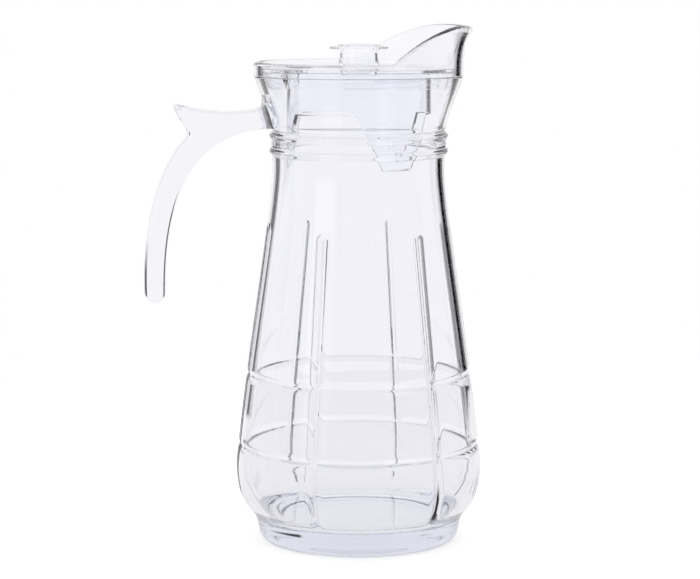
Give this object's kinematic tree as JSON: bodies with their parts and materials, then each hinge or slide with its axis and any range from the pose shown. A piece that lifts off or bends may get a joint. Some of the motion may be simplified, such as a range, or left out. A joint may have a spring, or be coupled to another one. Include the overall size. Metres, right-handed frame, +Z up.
{
  "type": "glass pitcher with lid",
  "caption": "Tall clear pressed-glass pitcher with a raised round spout, open hook handle, ring and channel pattern, and a clear plastic drop-in lid with a spool knob.",
  "frame": {"origin": "centre of the foot ring that the pitcher stands on, on the axis of the body", "axes": "+Z up along the axis of the body, +X towards the spout, -X towards the handle"},
  "size_m": [0.1675, 0.1224, 0.2558],
  "materials": {
    "clear_glass": "clear soda glass, fire polished, pressed pattern",
    "clear_plastic": "clear moulded plastic with a faint lavender tint, gloss"
  },
  "bodies": {
    "jug": {"jug_body": "clear_glass", "handle": "clear_glass"},
    "knob": {"knob": "clear_plastic"},
    "lid": {"lid": "clear_plastic"}
  },
  "joints": [
    {"name": "lid_lift", "type": "slide", "parent": "jug", "child": "knob", "axis": [0, 0, 1], "range_m": [0, 0.075]},
    {"name": "lid_turn", "type": "hinge", "parent": "knob", "child": "lid", "pos_m": [0, 0, 0.2344], "axis": [0, 0, 1], "continuous": true}
  ]
}
